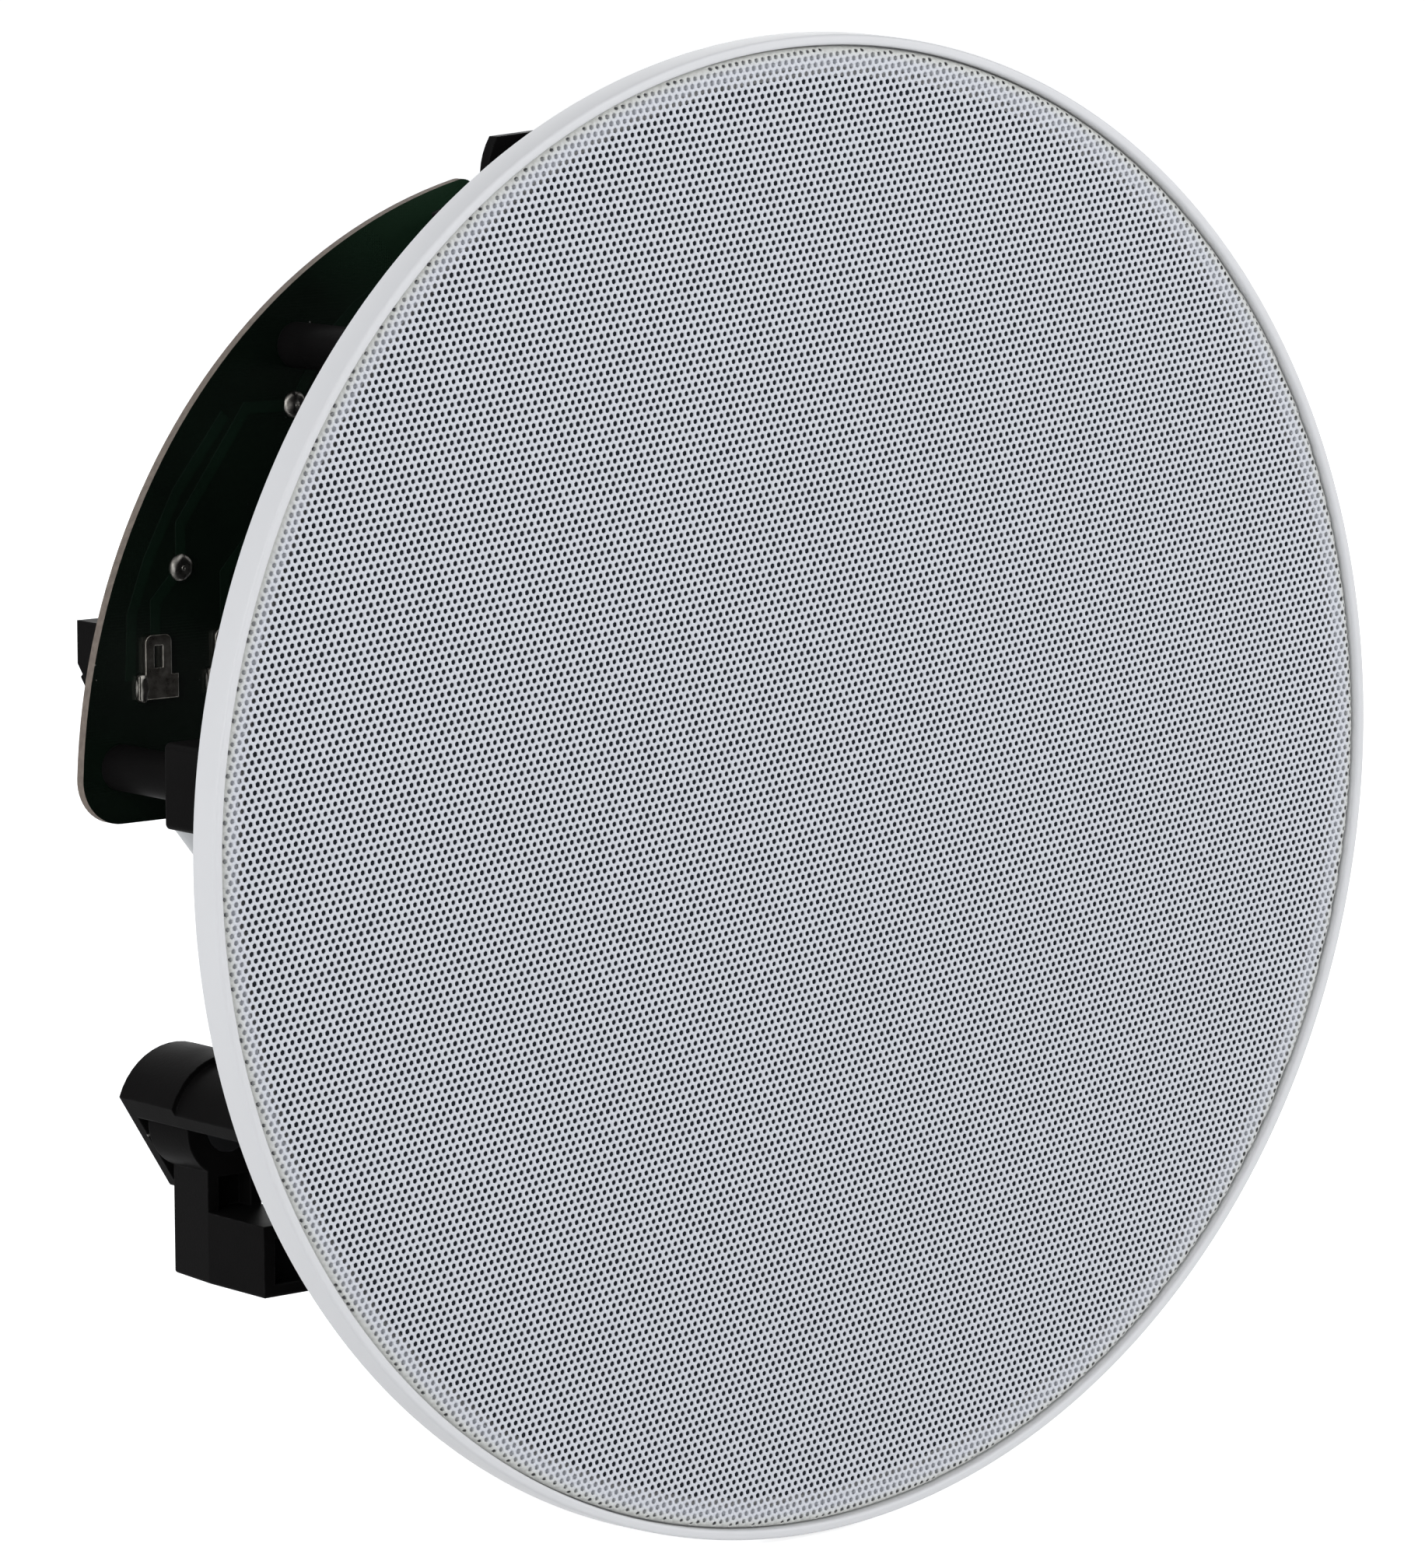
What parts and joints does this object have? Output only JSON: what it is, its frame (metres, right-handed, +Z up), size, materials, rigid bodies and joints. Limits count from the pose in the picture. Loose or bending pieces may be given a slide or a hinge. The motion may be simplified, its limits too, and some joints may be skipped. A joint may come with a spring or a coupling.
{
  "type": "round in-wall speaker",
  "caption": "Round flush-mount in-wall speaker with a perforated grille in a trim ring, swing-out wall clamps, a woofer with a tweeter on a bridge, and a rear crossover board.",
  "frame": {"origin": "centre of the flange's rear face, on the plane where it lies on the wall", "axes": "+X right and +Z up as seen from the front, +Y into the wall"},
  "size_m": [0.2291, 0.0805, 0.2292],
  "materials": {
    "white_plastic": "satin moulded",
    "grille_paint": "satin powder coat",
    "scrim": "open cloth",
    "bright_metal": "nickel plate",
    "black_plastic": "satin moulded",
    "zinc_steel": "zinc plate",
    "black_steel": "black coat",
    "black_rubber": "matte",
    "spider_cloth": "varnished cloth",
    "ferrite": "sintered",
    "cone_paper": "coated pulp",
    "aluminium": "foil",
    "copper": "enamelled wire",
    "tinned_tags": "tinned",
    "dome_cloth": "coated silk",
    "green_board": "solder mask",
    "pale_film": "wrapped film",
    "dark_sleeve": "shrunk sleeve",
    "white_ceramic": "cast ceramic",
    "red_plastic": "satin moulded"
  },
  "bodies": {
    "frame": {"trim_ring": "white_plastic", "grille": "grille_paint", "scrim_cloth": "scrim", "grille_magnets": "bright_metal", "chassis": "black_plastic", "trim_screws": "zinc_steel", "basket": "black_steel", "woofer_gasket": "black_rubber", "surround": "black_rubber", "spider": "spider_cloth", "top_plate": "zinc_steel", "ring_magnet": "ferrite", "back_plate": "zinc_steel", "woofer_screws": "black_steel", "woofer_terminals": "tinned_tags", "tweeter_bridge": "black_plastic", "bridge_screws": "black_steel", "tweeter_faceplate": "black_plastic", "tweeter_motor": "black_steel", "tweeter_dome": "dome_cloth", "crossover_board": "green_board", "board_screws": "zinc_steel", "terminal_block": "black_plastic", "spade_tabs": "tinned_tags", "film_capacitor": "pale_film", "small_capacitor": "dark_sleeve", "inductor_bobbin": "black_plastic", "inductor_winding": "copper", "ceramic_resistor": "white_ceramic"},
    "cone_assembly": {"cone": "cone_paper", "dust_cap": "cone_paper", "coil_former": "aluminium", "voice_coil": "copper"},
    "clamp_screw_1": {"clamp_screw_1": "zinc_steel"},
    "clamp_nut_1": {"clamp_nut_1": "black_steel"},
    "clamp_arm_1": {"clamp_arm_1": "black_plastic"},
    "clamp_screw_2": {"clamp_screw_2": "zinc_steel"},
    "clamp_nut_2": {"clamp_nut_2": "black_steel"},
    "clamp_arm_2": {"clamp_arm_2": "black_plastic"},
    "clamp_screw_3": {"clamp_screw_3": "zinc_steel"},
    "clamp_nut_3": {"clamp_nut_3": "black_steel"},
    "clamp_arm_3": {"clamp_arm_3": "black_plastic"},
    "terminal_button_black": {"terminal_button_black": "black_plastic"},
    "terminal_button_red": {"terminal_button_red": "red_plastic"}
  },
  "joints": [
    {"name": "cone_travel", "type": "slide", "parent": "frame", "child": "cone_assembly", "axis": [0, -1, 0], "range_m": [-0.0025, 0.0025], "stiffness_N_per_m": 1500, "deforming": ["surround", "spider"]},
    {"name": "clamp_turn_1", "type": "hinge", "parent": "frame", "child": "clamp_screw_1", "pos_m": [-0.00635, 0, 0.09078], "axis": [0, 1, 0], "range_deg": [0, 5089]},
    {"name": "clamp_travel_1", "type": "slide", "parent": "frame", "child": "clamp_nut_1", "axis": [0, -1, 0], "range_m": [0, 0.0212]},
    {"name": "clamp_swing_1", "type": "hinge", "parent": "clamp_nut_1", "child": "clamp_arm_1", "pos_m": [-0.00635, 0, 0.09078], "axis": [0, -1, 0], "range_deg": [-105, 0]},
    {"name": "clamp_turn_2", "type": "hinge", "parent": "frame", "child": "clamp_screw_2", "pos_m": [-0.07692, 0, -0.04863], "axis": [0, 1, 0], "range_deg": [0, 5089]},
    {"name": "clamp_travel_2", "type": "slide", "parent": "frame", "child": "clamp_nut_2", "axis": [0, -1, 0], "range_m": [0, 0.0212]},
    {"name": "clamp_swing_2", "type": "hinge", "parent": "clamp_nut_2", "child": "clamp_arm_2", "pos_m": [-0.07692, 0, -0.04863], "axis": [0, -1, 0], "range_deg": [-58, 47]},
    {"name": "clamp_turn_3", "type": "hinge", "parent": "frame", "child": "clamp_screw_3", "pos_m": [0.08057, 0, -0.0423], "axis": [0, 1, 0], "range_deg": [0, 5089]},
    {"name": "clamp_travel_3", "type": "slide", "parent": "frame", "child": "clamp_nut_3", "axis": [0, -1, 0], "range_m": [0, 0.0212]},
    {"name": "clamp_swing_3", "type": "hinge", "parent": "clamp_nut_3", "child": "clamp_arm_3", "pos_m": [0.08057, 0, -0.0423], "axis": [0, -1, 0], "range_deg": [-105, 0]},
    {"name": "press_black", "type": "slide", "parent": "frame", "child": "terminal_button_black", "axis": [0, -0.7682, 0.6402], "range_m": [0, 0.0018], "stiffness_N_per_m": 400},
    {"name": "press_red", "type": "slide", "parent": "frame", "child": "terminal_button_red", "axis": [0, -0.7682, 0.6402], "range_m": [0, 0.0018], "stiffness_N_per_m": 400}
  ],
  "couplings": [
    {"joint": "clamp_turn_1", "follows": "clamp_travel_1", "rad_per_m": 4188.8},
    {"joint": "clamp_turn_2", "follows": "clamp_travel_2", "rad_per_m": 4188.8},
    {"joint": "clamp_turn_3", "follows": "clamp_travel_3", "rad_per_m": 4188.8}
  ]
}
